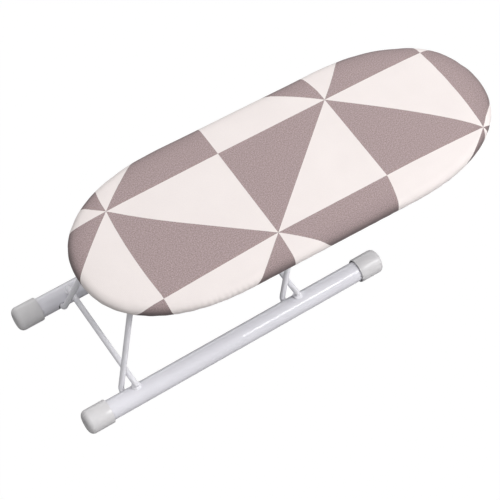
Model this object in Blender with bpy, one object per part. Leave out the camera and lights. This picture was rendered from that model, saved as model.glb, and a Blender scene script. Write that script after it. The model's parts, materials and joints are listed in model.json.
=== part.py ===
"""Tabletop sleeve ironing board on a folding wire stand.

A padded oval board stands on two wire legs that hinge in a base of two steel tubes.
Run with: blender --background --python part.py

Frame: metres, +X along the board, +Y across it, +Z up. The origin is on the table,
under the middle of the whole object. The free end of the board points to +X.
"""

import math

import bmesh
import bpy
from mathutils import Vector

MM = 0.001
GAP = 0.3 * MM                       # space kept between pieces that touch

# Whole object and board
OVERALL_LENGTH = 525.9 * MM
BOARD_LENGTH = 477.0 * MM
BOARD_HALF_WIDTH = 96.1 * MM
BOARD_END_LENGTH = 148.0 * MM        # length of each rounded end
BOARD_END_POWER = 2.25               # 2 is an ellipse, more is squarer
BOARD_HEIGHT = 145.3 * MM            # rounded edge's highest line above the table
EDGE_RADIUS = 7.75 * MM              # rounded padded edge
CROWN = 0.8 * MM                     # rise of the middle over the edge
COVER_SKEW = math.radians(-1.3)      # the slip-on cover and its pad sit slightly askew
OUTLINE_STEPS = 20                   # steps round each end

# Base tubes and caps
TUBE_RADIUS = 11.0 * MM
TUBE_WALL = 1.2 * MM
TUBE_SPREAD = 72.1 * MM              # each tube's axis from the middle plane
TUBE_SIDES = 20
BASE_LENGTH = 360.4 * MM             # over the end caps
CAP_RADIUS = 13.2 * MM
CAP_LENGTH = 28.0 * MM
CAP_BORE_DEPTH = 22.5 * MM

# Wires
WIRE_RADIUS = 3.0 * MM
LEG_PITCH = 197.1 * MM               # between the two legs' pivots
PIVOT_FROM_CAP = 22.4 * MM           # left pivot from the left cap's rim
PIVOT_HEIGHT = 14.0 * MM
PIVOT_HOLE_RADIUS = 4.2 * MM
LEG_FOOT_SPREAD = 57.75 * MM         # a leg's side wire from the middle plane, at the pivot
LEG_LEAN = math.radians(17.0)        # upright legs lean this far past vertical, to +X
LEG_TAPER = math.radians(11.8)       # side wires lean in towards the board
LEG_FOOT_BEND = 5.0 * MM
LEG_TOP_BEND = 8.0 * MM
HOOK_END = 76.0 * MM                 # how far out the hooked wire ends reach
BRACE_OFFSET = 12.5 * MM             # cross wires stand this far right of each pivot
BRACE_HALF_LENGTH = 71.0 * MM

# Sheet parts under the board, with heights counted from the legs' crossbars
HINGE_HEIGHT = 130.9 * MM
SHEET = 1.2 * MM
PANEL_SHEET = 1.0 * MM
PANEL_INSET = 8.3 * MM
PANEL_RIM_DEPTH = 4.2 * MM
PLATE_HALF_LENGTH = 13.0 * MM
PLATE_HALF_WIDTH = 36.5 * MM
SADDLE_Y = 20.0 * MM
SADDLE_WIDTH = 12.0 * MM
SADDLE_HALF_LENGTH = 12.0 * MM
RIVET_X = 8.2 * MM
RIVET_RADIUS = 1.4 * MM
RIVET_HOLE_RADIUS = 1.7 * MM
RIVET_HEAD_RADIUS = 3.0 * MM
RIVET_HEAD_HEIGHT = 1.6 * MM
RIVET_TAIL_RADIUS = 2.4 * MM
RIVET_TAIL_HEIGHT = 0.6 * MM
STOP_DEPTH = 11.0 * MM               # how far the stop tabs hang below the crossbar's axis
VENT_RADIUS = 6.0 * MM
VENT_PITCH_X = 38.0 * MM
VENT_ROWS_Y = (-54.0 * MM, -18.0 * MM, 18.0 * MM, 54.0 * MM)

# Soft parts
COVER_CLOTH = 0.8 * MM
HEM_INSET = 13.6 * MM                # where the hem curls round its elastic
HEM_RETURN = 0.4 * MM
ELASTIC_RADIUS = 0.7 * MM
PAD_SKIRT_DROP = 4.0 * MM            # how far the pad wraps below the edge's middle line

# Places that follow from the sizes above
BASE_X = -(OVERALL_LENGTH - BASE_LENGTH) / 2
BOARD_X = (OVERALL_LENGTH - BOARD_LENGTH) / 2
CAP_RIM_X = BASE_X - BASE_LENGTH / 2 + CAP_LENGTH
LEFT_PIVOT_X = CAP_RIM_X + PIVOT_FROM_CAP
RIGHT_PIVOT_X = LEFT_PIVOT_X + LEG_PITCH
LEG_RISE = HINGE_HEIGHT - PIVOT_HEIGHT
LEG_SHIFT = LEG_RISE * math.tan(LEG_LEAN)
LEFT_HINGE_X = LEFT_PIVOT_X + LEG_SHIFT
RIGHT_HINGE_X = RIGHT_PIVOT_X + LEG_SHIFT
CROSSBAR_HALF_LENGTH = LEG_FOOT_SPREAD - LEG_RISE * math.tan(LEG_TAPER)
EDGE_MIDDLE = BOARD_HEIGHT - EDGE_RADIUS - HINGE_HEIGHT
PLATE_BOTTOM = WIRE_RADIUS + GAP
PLATE_TOP = PLATE_BOTTOM + SHEET
EAR_TOP = PLATE_BOTTOM - GAP
EAR_BOTTOM = EAR_TOP - SHEET
PANEL_BOTTOM = PLATE_TOP + GAP
PANEL_TOP = PANEL_BOTTOM + PANEL_SHEET
RIVET_TOP = PANEL_TOP + GAP + RIVET_TAIL_HEIGHT
PAD_BOTTOM = RIVET_TOP + 1.3 * GAP


def material(name, colour, roughness, metallic=0.0):
    """A Principled material."""
    mat = bpy.data.materials.new(name)
    mat.use_nodes = True
    shader = mat.node_tree.nodes["Principled BSDF"]
    shader.inputs["Base Color"].default_value = (*colour, 1.0)
    shader.inputs["Roughness"].default_value = roughness
    shader.inputs["Metallic"].default_value = metallic
    mat.diffuse_color = (*colour, 1.0)
    return mat


def empty(name, location, parent=None):
    """An empty that marks a body's joint axis. location is in world coordinates."""
    obj = bpy.data.objects.new(name, None)
    bpy.context.collection.objects.link(obj)
    obj.empty_display_size = 0.02
    obj.parent = parent
    offset = parent.matrix_world.translation if parent else Vector((0, 0, 0))
    obj.location = Vector(location) - offset
    bpy.context.view_layer.update()
    return obj


def add_object(name, data, mat, parent, location=(0, 0, 0)):
    """Links an object. location is in world coordinates."""
    obj = bpy.data.objects.new(name, data)
    bpy.context.collection.objects.link(obj)
    obj.parent = parent
    obj.location = Vector(location) - parent.matrix_world.translation
    if not data.materials:
        data.materials.append(mat)
    return obj


def loft(name, rings, closed=False, smooth=True):
    """A closed mesh through rings of points. The ends are capped, or joined when closed."""
    count = len(rings[0])
    verts = [tuple(point) for ring in rings for point in ring]
    faces = []
    spans = len(rings) if closed else len(rings) - 1
    for i in range(spans):
        a = i * count
        b = ((i + 1) % len(rings)) * count
        for k in range(count):
            n = (k + 1) % count
            faces.append((a + k, a + n, b + n, b + k))
    if not closed:
        faces.append(tuple(reversed(range(count))))
        last = (len(rings) - 1) * count
        faces.append(tuple(range(last, last + count)))
    return finish_mesh(name, verts, faces, smooth)


def finish_mesh(name, verts, faces, smooth=False):
    """A mesh whose faces point out, shaded smooth where it is round."""
    mesh = bpy.data.meshes.new(name)
    mesh.from_pydata(verts, [], faces)
    shape = bmesh.new()
    shape.from_mesh(mesh)
    bmesh.ops.recalc_face_normals(shape, faces=shape.faces)
    shape.to_mesh(mesh)
    shape.free()
    if smooth:
        mesh.shade_smooth()
        mesh.set_sharp_from_angle(angle=math.radians(35))
    return mesh


def prism(name, profile, low, high):
    """A profile of (x, z) points, extruded along Y from low to high."""
    ring_low = [(x, low, z) for x, z in profile]
    ring_high = [(x, high, z) for x, z in profile]
    return loft(name, [ring_low, ring_high], smooth=False)


def box_profile(x0, x1, z0, z1):
    return [(x0, z0), (x1, z0), (x1, z1), (x0, z1)]


def circle(apothem, height, sides):
    """A ring about Z whose flats are apothem away from the axis."""
    radius = apothem / math.cos(math.pi / sides)
    turns = [2 * math.pi * (k + 0.5) / sides for k in range(sides)]
    return [(radius * math.cos(a), radius * math.sin(a), height) for a in turns]


def along_x(rings):
    """Rings about Z, turned to stand about X."""
    return [[(z, x, y) for x, y, z in ring] for ring in rings]


def cut(target, name, mesh, location, operation="DIFFERENCE"):
    """Joins or cuts target with another mesh, which stays as a hidden wire tool."""
    tool = bpy.data.objects.new(name, mesh)
    bpy.context.collection.objects.link(tool)
    tool.parent = target.parent
    tool.location = Vector(location) - target.parent.matrix_world.translation
    tool.hide_render = True
    tool.display_type = "WIRE"
    step = target.modifiers.new(name, "BOOLEAN")
    step.operation = operation
    step.solver = "EXACT"
    step.object = tool


def drill(name, centres, radius, low, high, sides=8):
    """One mesh of separate upright cylinders, for cutting round holes."""
    verts = []
    faces = []
    for x, y in centres:
        start = len(verts)
        for height in (low, high):
            for px, py, pz in circle(radius, height, sides):
                verts.append((x + px, y + py, pz))
        for k in range(sides):
            n = (k + 1) % sides
            faces.append((start + k, start + n, start + sides + n, start + sides + k))
        faces.append(tuple(start + k for k in reversed(range(sides))))
        faces.append(tuple(start + sides + k for k in range(sides)))
    return finish_mesh(name, verts, faces)


def round_corners(points, radii, steps=5):
    """A path through points with each inner corner replaced by an arc."""
    path = [Vector(points[0])]
    for before, corner, after, radius in zip(points, points[1:], points[2:], radii):
        corner = Vector(corner)
        back = (Vector(before) - corner).normalized()
        ahead = (Vector(after) - corner).normalized()
        half = back.angle(ahead) / 2
        centre = corner + (back + ahead).normalized() * radius / math.sin(half)
        start = corner + back * radius / math.tan(half)
        end = corner + ahead * radius / math.tan(half)
        for k in range(steps + 1):
            spoke = (start - centre).normalized().slerp((end - centre).normalized(), k / steps)
            path.append(centre + spoke * radius)
    path.append(Vector(points[-1]))
    return path


def wire(name, path, radius, mat, parent, location, sides=10, cyclic=False):
    """A round wire along a path, as a curve with a bevel and filled ends."""
    curve = bpy.data.curves.new(name, "CURVE")
    curve.dimensions = "3D"
    curve.bevel_depth = radius
    curve.bevel_resolution = sides // 2 - 2
    curve.use_fill_caps = not cyclic
    spline = curve.splines.new("POLY")
    spline.points.add(len(path) - 1)
    for point, place in zip(spline.points, path):
        point.co = (*place, 1.0)
    spline.use_cyclic_u = cyclic
    spline.use_smooth = True
    return add_object(name, curve, mat, parent, location)


def outline(inset, height, skew=0.0):
    """The board's oval at a height, inset from the cover's outer edge and turned by skew."""
    middle = BOARD_LENGTH / 2 - BOARD_END_LENGTH
    power = 2 / BOARD_END_POWER
    ring = []
    for side in (1, -1):
        for k in range(OUTLINE_STEPS + 1):
            turn = math.pi * (k / OUTLINE_STEPS - 0.5)
            u = math.cos(turn) ** power if k not in (0, OUTLINE_STEPS) else 0.0
            v = math.copysign(abs(math.sin(turn)) ** power, turn)
            slope_x = u ** (BOARD_END_POWER - 1) / BOARD_END_LENGTH
            slope_y = math.copysign(abs(v) ** (BOARD_END_POWER - 1), v) / BOARD_HALF_WIDTH
            steep = math.hypot(slope_x, slope_y)
            x = side * (middle + BOARD_END_LENGTH * u - inset * slope_x / steep)
            y = side * (BOARD_HALF_WIDTH * v - inset * slope_y / steep)
            cos, sin = math.cos(skew), math.sin(skew)
            ring.append((x * cos - y * sin, x * sin + y * cos, height))
    return ring


def edge_arc(radius, low, high, steps):
    """(inset, height) points round the board's padded edge, between two angles in degrees."""
    points = []
    for k in range(steps + 1):
        turn = math.radians(low + (high - low) * k / steps)
        inset = EDGE_RADIUS - radius * math.cos(turn)
        points.append((inset, EDGE_MIDDLE + radius * math.sin(turn)))
    return points


def crown(below):
    """(inset, height) points over the board's gently domed top, below the outer skin."""
    top = EDGE_MIDDLE + EDGE_RADIUS - below
    return [(20 * MM, top + 0.6 * CROWN), (40 * MM, top + CROWN)]


def build_base(mats):
    """Two tubes, four end caps and two cross wires."""
    base = empty("base", (0, 0, 0))
    tube_half = BASE_LENGTH / 2 - CAP_LENGTH + CAP_BORE_DEPTH - GAP
    bore = TUBE_RADIUS - TUBE_WALL
    tube_rings = [
        circle(TUBE_RADIUS, -tube_half, TUBE_SIDES),
        circle(TUBE_RADIUS, tube_half, TUBE_SIDES),
        circle(bore, tube_half, TUBE_SIDES),
        circle(bore, -tube_half, TUBE_SIDES),
    ]
    cap_bore = TUBE_RADIUS + GAP
    cap_profile = [
        (cap_bore, CAP_BORE_DEPTH),
        (cap_bore, 0.0),
        (CAP_RADIUS - 0.6 * MM, 0.0),
        (CAP_RADIUS, 0.8 * MM),
        (CAP_RADIUS, CAP_LENGTH - 5.5 * MM),
        (CAP_RADIUS - 1.0 * MM, CAP_LENGTH - 2.2 * MM),
        (CAP_RADIUS - 3.0 * MM, CAP_LENGTH - 0.5 * MM),
        (CAP_RADIUS - 5.5 * MM, CAP_LENGTH),
    ]
    cap_rings = along_x([circle(r, depth, TUBE_SIDES) for r, depth in cap_profile])
    cap_mesh = loft("end_cap", cap_rings)
    rim = BASE_LENGTH / 2 - CAP_LENGTH
    for side, spread in (("near", -TUBE_SPREAD), ("far", TUBE_SPREAD)):
        mesh = loft(side + "_tube", along_x(tube_rings), closed=True)
        tube = add_object(side + "_tube", mesh, mats["tube"], base, (BASE_X, spread, CAP_RADIUS))
        inner = -math.copysign(1, spread)
        for which, pivot in (("left", LEFT_PIVOT_X), ("right", RIGHT_PIVOT_X)):
            ring = circle(PIVOT_HOLE_RADIUS, 0.0, 12)
            start = [(x, 0.0, y) for x, y, z in ring]
            end = [(x, inner * 2 * TUBE_RADIUS, y) for x, y, z in ring]
            hole = loft(f"{side}_{which}_pivot_hole", [start, end])
            cut(tube, hole.name, hole, (pivot, spread, PIVOT_HEIGHT))
        for which, x, turn in (("left", BASE_X - rim, math.pi), ("right", BASE_X + rim, 0.0)):
            place = (x, spread, CAP_RADIUS)
            cap = add_object(f"{side}_{which}_cap", cap_mesh, mats["cap"], base, place)
            cap.rotation_euler.z = turn
    brace_height = CAP_RADIUS + TUBE_RADIUS + GAP + WIRE_RADIUS
    for which, pivot in (("left", LEFT_PIVOT_X), ("right", RIGHT_PIVOT_X)):
        path = [(0, -BRACE_HALF_LENGTH, 0), (0, BRACE_HALF_LENGTH, 0)]
        place = (pivot + BRACE_OFFSET, 0, brace_height)
        wire(f"{which}_cross_wire", path, WIRE_RADIUS, mats["wire"], base, place)
    return base


def build_leg(which, pivot_x, mats, base):
    """One bent-wire leg. Its origin is on its pivot axis in the base tubes."""
    axis = empty(which + "_leg_axis", (pivot_x, 0, PIVOT_HEIGHT), base)
    points = [
        (0, -HOOK_END, 0),
        (0, -LEG_FOOT_SPREAD, 0),
        (LEG_SHIFT, -CROSSBAR_HALF_LENGTH, LEG_RISE),
        (LEG_SHIFT, CROSSBAR_HALF_LENGTH, LEG_RISE),
        (0, LEG_FOOT_SPREAD, 0),
        (0, HOOK_END, 0),
    ]
    bends = [LEG_FOOT_BEND, LEG_TOP_BEND, LEG_TOP_BEND, LEG_FOOT_BEND]
    path = round_corners(points, bends)
    wire(which + "_leg", path, WIRE_RADIUS, mats["wire"], axis, (pivot_x, 0, PIVOT_HEIGHT))
    return axis


def saddle_profile():
    """A strap that hangs under the crossbar, with a flat ear on each side."""
    inside = WIRE_RADIUS + GAP
    outside = inside + SHEET
    steps = 6
    inner = [(-inside * math.cos(math.pi * k / steps), -inside * math.sin(math.pi * k / steps))
             for k in range(steps + 1)]
    outer = [(outside * math.cos(math.pi * k / steps), -outside * math.sin(math.pi * k / steps))
             for k in range(steps + 1)]
    left = [(-SADDLE_HALF_LENGTH, EAR_TOP), (-inside, EAR_TOP)]
    right = [(inside, EAR_TOP), (SADDLE_HALF_LENGTH, EAR_TOP),
             (SADDLE_HALF_LENGTH, EAR_BOTTOM), (outside, EAR_BOTTOM)]
    back = [(-outside, EAR_BOTTOM), (-SADDLE_HALF_LENGTH, EAR_BOTTOM)]
    return left + inner + right + outer + back


def build_rivet(name, place, mats, board):
    """A domed rivet through a saddle's ear, the hinge plate and the panel."""
    head_top = EAR_BOTTOM - GAP
    tail_low = PANEL_TOP + GAP
    profile = [
        (0.45 * RIVET_HEAD_RADIUS, head_top - RIVET_HEAD_HEIGHT),
        (0.85 * RIVET_HEAD_RADIUS, head_top - 0.65 * RIVET_HEAD_HEIGHT),
        (RIVET_HEAD_RADIUS, head_top),
        (RIVET_RADIUS, head_top),
        (RIVET_RADIUS, tail_low),
        (RIVET_TAIL_RADIUS, tail_low),
        (RIVET_TAIL_RADIUS, RIVET_TOP),
    ]
    mesh = loft(name, [circle(r, z, 8) for r, z in profile])
    add_object(name, mesh, mats["rivet"], board, place)


def build_hinge(which, hinge_x, mats, board):
    """A stop plate, two saddles and four rivets that hold one leg's crossbar."""
    place = (hinge_x, 0, HINGE_HEIGHT)
    rivets = [(x, y) for y in (-SADDLE_Y, SADDLE_Y) for x in (-RIVET_X, RIVET_X)]
    stop_face = -(STOP_DEPTH * math.tan(LEG_LEAN) + WIRE_RADIUS / math.cos(LEG_LEAN) + GAP)
    stop_back = stop_face - SHEET
    saddle_edge = SADDLE_Y + SADDLE_WIDTH / 2
    flat = box_profile(-PLATE_HALF_LENGTH, PLATE_HALF_LENGTH, PLATE_BOTTOM, PLATE_TOP)
    core = prism(which + "_stop_plate", flat, -saddle_edge - 2 * MM, saddle_edge + 2 * MM)
    plate = add_object(core.name, core, mats["bracket"], board, place)
    wing = [(stop_back, -STOP_DEPTH), (stop_face, -STOP_DEPTH), (stop_face, PLATE_BOTTOM),
            (PLATE_HALF_LENGTH, PLATE_BOTTOM), (PLATE_HALF_LENGTH, PLATE_TOP), (stop_back, PLATE_TOP)]
    spans = {
        "near": (-PLATE_HALF_WIDTH, -saddle_edge - MM),
        "far": (saddle_edge + MM, PLATE_HALF_WIDTH),
    }
    for side, (near, far) in spans.items():
        name = f"{which}_stop_plate_{side}_wing"
        cut(plate, name, prism(name, wing, near, far), place, "UNION")
    name = which + "_stop_plate_holes"
    holes = drill(name, rivets, RIVET_HOLE_RADIUS, PLATE_BOTTOM - MM, PLATE_TOP + MM)
    cut(plate, holes.name, holes, place)
    for side, y in (("near", -SADDLE_Y), ("far", SADDLE_Y)):
        name = f"{which}_{side}_saddle"
        mesh = prism(name, saddle_profile(), -SADDLE_WIDTH / 2, SADDLE_WIDTH / 2)
        saddle = add_object(name, mesh, mats["bracket"], board, (hinge_x, y, HINGE_HEIGHT))
        centres = [(-RIVET_X, 0), (RIVET_X, 0)]
        ears = drill(name + "_holes", centres, RIVET_HOLE_RADIUS, EAR_BOTTOM - MM, EAR_TOP + MM)
        cut(saddle, ears.name, ears, (hinge_x, y, HINGE_HEIGHT))
        for end, x in (("left", -RIVET_X), ("right", RIVET_X)):
            build_rivet(f"{which}_{side}_{end}_rivet", (hinge_x + x, y, HINGE_HEIGHT), mats, board)
    return [(hinge_x - BOARD_X + x, y) for x, y in rivets]


def build_panel(rivets, mats, board):
    """The steel panel with a turned-down rim, vent holes and rivet holes."""
    rim_low = PANEL_TOP - PANEL_RIM_DEPTH
    path = [
        (PANEL_INSET + 1.2 * MM, PANEL_TOP),
        (PANEL_INSET, PANEL_TOP - 1.2 * MM),
        (PANEL_INSET, rim_low),
        (PANEL_INSET + PANEL_SHEET, rim_low),
        (PANEL_INSET + PANEL_SHEET, PANEL_BOTTOM),
    ]
    mesh = loft("board_panel", [outline(inset, height) for inset, height in path])
    place = (BOARD_X, 0, HINGE_HEIGHT)
    panel = add_object("board_panel", mesh, mats["panel"], board, place)
    vents = []
    keep_clear = PLATE_HALF_LENGTH + VENT_RADIUS + 3 * MM
    hinges = (LEFT_HINGE_X - BOARD_X, RIGHT_HINGE_X - BOARD_X)
    for row, y in enumerate(VENT_ROWS_Y):
        reach = 5 if abs(y) < 30 * MM else 4
        for k in range(-reach, reach + 1):
            x = (k + 0.25 * (-1) ** row) * VENT_PITCH_X
            beside = abs(y) < PLATE_HALF_WIDTH + VENT_RADIUS
            if not (beside and min(abs(x - hinge) for hinge in hinges) < keep_clear):
                vents.append((x, y))
    low, high = PANEL_BOTTOM - MM, PANEL_TOP + MM
    cut(panel, "vents", drill("vents", vents, VENT_RADIUS, low, high, sides=10), place)
    holes = drill("panel_rivet_holes", rivets, RIVET_HOLE_RADIUS, low, high)
    cut(panel, holes.name, holes, place)


def build_pad(mats, board):
    """The foam pad on the panel, wrapped a little way down round the panel's rim."""
    radius = EDGE_RADIUS - COVER_CLOTH - GAP
    skirt = -math.degrees(math.asin(PAD_SKIRT_DROP / radius))
    inner = PANEL_INSET - 0.4 * MM
    skirt_low = EDGE_MIDDLE - PAD_SKIRT_DROP
    rings = [outline(inner, PAD_BOTTOM), outline(inner, skirt_low)]
    rings += [outline(i, h, COVER_SKEW) for i, h in edge_arc(radius, skirt, 90, 6)]
    rings += [outline(i, h, COVER_SKEW) for i, h in crown(COVER_CLOTH + GAP)]
    add_object("foam_pad", loft("foam_pad", rings), mats["foam"], board, (BOARD_X, 0, HINGE_HEIGHT))


def hem_curl(radius, steps=3):
    """(inset, height) points round the hem's elastic, from below to above it."""
    centre = elastic_height()
    turns = [math.pi * (k / steps - 0.5) for k in range(steps + 1)]
    return [(HEM_INSET + radius * math.cos(a), centre + radius * math.sin(a)) for a in turns]


def elastic_height():
    return EDGE_MIDDLE - EDGE_RADIUS + COVER_CLOTH + GAP + ELASTIC_RADIUS


def build_cover(mats, board):
    """The cotton cover: over the pad, under the rim, and curled round its elastic."""
    inside = EDGE_RADIUS - COVER_CLOTH
    curl_inside = ELASTIC_RADIUS + GAP
    curl_outside = curl_inside + COVER_CLOTH
    hem_top = elastic_height()
    outer = list(reversed(crown(0.0))) + list(reversed(edge_arc(EDGE_RADIUS, -90, 90, 6)))
    outer += hem_curl(curl_outside) + [(HEM_INSET - HEM_RETURN, hem_top + curl_outside)]
    inner = [(HEM_INSET - HEM_RETURN, hem_top + curl_inside)] + list(reversed(hem_curl(curl_inside)))
    inner += edge_arc(inside, -90, 90, 6) + crown(COVER_CLOTH)
    rings = [outline(i, h, COVER_SKEW) for i, h in outer + inner]
    place = (BOARD_X, 0, HINGE_HEIGHT)
    add_object("cotton_cover", loft("cotton_cover", rings), mats["cover"], board, place)
    loop = outline(HEM_INSET, hem_top, COVER_SKEW)
    wire("hem_elastic", loop, ELASTIC_RADIUS, mats["elastic"], board, place, sides=6, cyclic=True)


def main():
    for obj in list(bpy.data.objects):
        bpy.data.objects.remove(obj, do_unlink=True)
    mats = {
        "tube": material("glossy light grey paint", (0.74, 0.73, 0.78), 0.25),
        "wire": material("painted wire", (0.72, 0.71, 0.76), 0.32),
        "cap": material("light grey plastic", (0.70, 0.69, 0.71), 0.4),
        "bracket": material("zinc-plated sheet steel", (0.62, 0.63, 0.65), 0.35, 1.0),
        "rivet": material("bright rivet", (0.75, 0.75, 0.76), 0.3, 1.0),
        "panel": material("light grey painted sheet steel", (0.66, 0.66, 0.69), 0.4),
        "foam": material("pale foam", (0.86, 0.84, 0.78), 0.9),
        "cover": material("grey-mauve and white cotton", (0.62, 0.56, 0.56), 0.85),
        "elastic": material("white elastic", (0.85, 0.85, 0.85), 0.8),
    }
    base = build_base(mats)
    left_axis = build_leg("left", LEFT_PIVOT_X, mats, base)
    build_leg("right", RIGHT_PIVOT_X, mats, base)
    board = empty("board_axis", (LEFT_HINGE_X, 0, HINGE_HEIGHT), left_axis)
    rivets = build_hinge("left", LEFT_HINGE_X, mats, board)
    rivets += build_hinge("right", RIGHT_HINGE_X, mats, board)
    build_panel(rivets, mats, board)
    build_pad(mats, board)
    build_cover(mats, board)


main()
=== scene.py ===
import json
import math

import bmesh
import bpy
import numpy as np
from mathutils import Matrix, Vector, noise


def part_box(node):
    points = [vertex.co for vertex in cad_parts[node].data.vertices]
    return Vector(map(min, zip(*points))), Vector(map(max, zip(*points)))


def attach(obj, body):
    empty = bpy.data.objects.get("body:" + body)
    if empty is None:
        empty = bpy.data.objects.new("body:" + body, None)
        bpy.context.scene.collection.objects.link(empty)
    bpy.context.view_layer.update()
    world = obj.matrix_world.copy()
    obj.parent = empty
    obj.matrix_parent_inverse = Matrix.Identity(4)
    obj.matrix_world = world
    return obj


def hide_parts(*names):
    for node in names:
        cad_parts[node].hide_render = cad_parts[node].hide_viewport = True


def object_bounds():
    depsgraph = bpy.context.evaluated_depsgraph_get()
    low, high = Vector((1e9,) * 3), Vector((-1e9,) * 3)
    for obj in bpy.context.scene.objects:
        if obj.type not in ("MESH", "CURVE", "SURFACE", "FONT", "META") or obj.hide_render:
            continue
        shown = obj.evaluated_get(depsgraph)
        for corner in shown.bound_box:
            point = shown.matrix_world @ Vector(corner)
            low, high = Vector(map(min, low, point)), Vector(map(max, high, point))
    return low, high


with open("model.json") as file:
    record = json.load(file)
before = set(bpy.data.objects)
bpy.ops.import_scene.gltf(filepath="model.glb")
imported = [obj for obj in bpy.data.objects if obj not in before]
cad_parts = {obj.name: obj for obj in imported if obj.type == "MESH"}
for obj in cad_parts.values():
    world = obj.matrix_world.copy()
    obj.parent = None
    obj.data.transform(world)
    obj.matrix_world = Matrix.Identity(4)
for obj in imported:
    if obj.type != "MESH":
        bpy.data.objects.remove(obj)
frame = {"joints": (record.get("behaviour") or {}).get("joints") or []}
CAD_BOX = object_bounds()

# Tabletop sleeve ironing board: the looks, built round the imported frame.
# Metres, +X along the board to its free end, +Y across it, +Z up.
MM = 0.001
GAP = 0.3 * MM

# Places read from the frame
JOINTS = {joint["name"]: Vector(joint["pos_m"]) for joint in frame["joints"]}
TUBE_LOW, TUBE_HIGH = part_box("near_tube")
CAP_LOW, CAP_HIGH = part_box("near_left_cap")
COVER_LOW, COVER_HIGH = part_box("cotton_cover")
HINGE_HEIGHT = JOINTS["board_level"].z
HINGES = {
    "left": JOINTS["board_level"].x,
    "right": JOINTS["board_level"].x + JOINTS["right_leg_fold"].x - JOINTS["left_leg_fold"].x,
}
PIVOTS = {"left": JOINTS["left_leg_fold"], "right": JOINTS["right_leg_fold"]}

# Base
TUBE_RADIUS = (TUBE_HIGH.z - TUBE_LOW.z) / 2
TUBE_AXIS_Z = (TUBE_HIGH.z + TUBE_LOW.z) / 2
TUBE_SPREAD = -(TUBE_HIGH.y + TUBE_LOW.y) / 2
TUBE_WALL = 1.2 * MM
TUBE_SIDES = 96
CAP_RADIUS = (CAP_HIGH.z - CAP_LOW.z) / 2
CAP_LENGTH = CAP_HIGH.x - CAP_LOW.x
CAP_BORE_DEPTH = 22.5 * MM
CAP_CORNER = 5.6 * MM
PIVOT_HOLE_RADIUS = 4.2 * MM

# Wires
WIRE_RADIUS = 3.0 * MM
LEG_FOOT_SPREAD = 57.75 * MM
LEG_TAPER = math.radians(11.8)
LEG_FOOT_BEND = 5.0 * MM
LEG_TOP_BEND = 8.0 * MM
HOOK_END = 76.0 * MM

# Board
BOARD_LENGTH = 477.0 * MM
BOARD_HALF_WIDTH = 96.1 * MM
BOARD_END_LENGTH = 148.0 * MM
BOARD_END_POWER = 2.25
BOARD_X = CAD_BOX[1][0] - BOARD_LENGTH / 2
COVER_SKEW = math.radians(-1.3)
EDGE_RADIUS = 7.75 * MM
EDGE_MIDDLE = COVER_LOW.z + EDGE_RADIUS
SHOULDER_WIDTH = 34.0 * MM           # the padded top eases down towards its edge over this width
SHOULDER_DROP = 1.4 * MM
TOP_RISE = 0.5 * MM
COVER_CLOTH = 0.8 * MM
HEM_INSET = 13.6 * MM
HEM_RETURN = 0.4 * MM
GATHER_DEPTH = 0.95 * MM
PUCKER_DEPTH = 0.3 * MM
PUCKER_PITCH = 6.0 * MM
ELASTIC_RADIUS = 0.7 * MM
ELASTIC_HEIGHT = EDGE_MIDDLE - EDGE_RADIUS + COVER_CLOTH + GAP + ELASTIC_RADIUS

# Sheet parts, with heights counted from the legs' crossbars
SHEET = 1.2 * MM
PANEL_SHEET = 1.0 * MM
PANEL_INSET = 8.3 * MM
PANEL_RIM_DEPTH = 4.2 * MM
PANEL_BEND = 1.2 * MM
PLATE_HALF_LENGTH = 13.0 * MM
PLATE_HALF_WIDTH = 36.5 * MM
PLATE_BOTTOM = WIRE_RADIUS + GAP
PLATE_TOP = PLATE_BOTTOM + SHEET
STOP_DEPTH = 11.0 * MM
LEG_LEAN = math.radians(17.0)
SADDLE_Y = 20.0 * MM
SADDLE_WIDTH = 12.0 * MM
SADDLE_HALF_LENGTH = 12.0 * MM
EAR_TOP = PLATE_BOTTOM - GAP
EAR_BOTTOM = EAR_TOP - SHEET
PANEL_BOTTOM = PLATE_TOP + GAP
PANEL_TOP = PANEL_BOTTOM + PANEL_SHEET
RIVET_X = 8.2 * MM
RIVET_RADIUS = 1.4 * MM
RIVET_HOLE_RADIUS = 1.7 * MM
RIVET_HEAD_RADIUS = 3.0 * MM
RIVET_HEAD_HEIGHT = 1.6 * MM
RIVET_TAIL_RADIUS = 2.4 * MM
RIVET_TAIL_HEIGHT = 0.6 * MM
RIVET_TOP = PANEL_TOP + GAP + RIVET_TAIL_HEIGHT
PAD_BOTTOM = RIVET_TOP + 1.3 * GAP
PAD_SKIRT_DROP = 4.0 * MM
VENT_RADIUS = 6.0 * MM
VENT_PITCH_X = 38.0 * MM
VENT_ROWS_Y = (-54.0 * MM, -18.0 * MM, 18.0 * MM, 54.0 * MM)

# Printed cloth: a lattice of right-angled triangles round eight-pointed stars
PRINT_CELL_X = 130.1 * MM
PRINT_CELL_Y = 113.6 * MM
PRINT_STAR = (BOARD_X - 175.25 * MM, 57.14 * MM)
PRINT_TURN = math.radians(-1.04)
WEAVE_SCALE = 203.125                # of a wave texture, for threads about 1.5 mm apart
# Inside the tubes: unpainted steel, darkened to near black with painted shade.
BORE_PAINTED_SHADE = (0.035, 0.032, 0.032)    # the colour inside the tubes

# The cover's mesh and its simulation
COVER_COLUMNS = 360
PINNED_RINGS = 6                     # the curled hem, which the elastic holds still
SEAM_RING = 7                        # the stitches follow this ring
PUFF_FRAMES = 20
PUFF_REACH = 0.9 * MM

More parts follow.
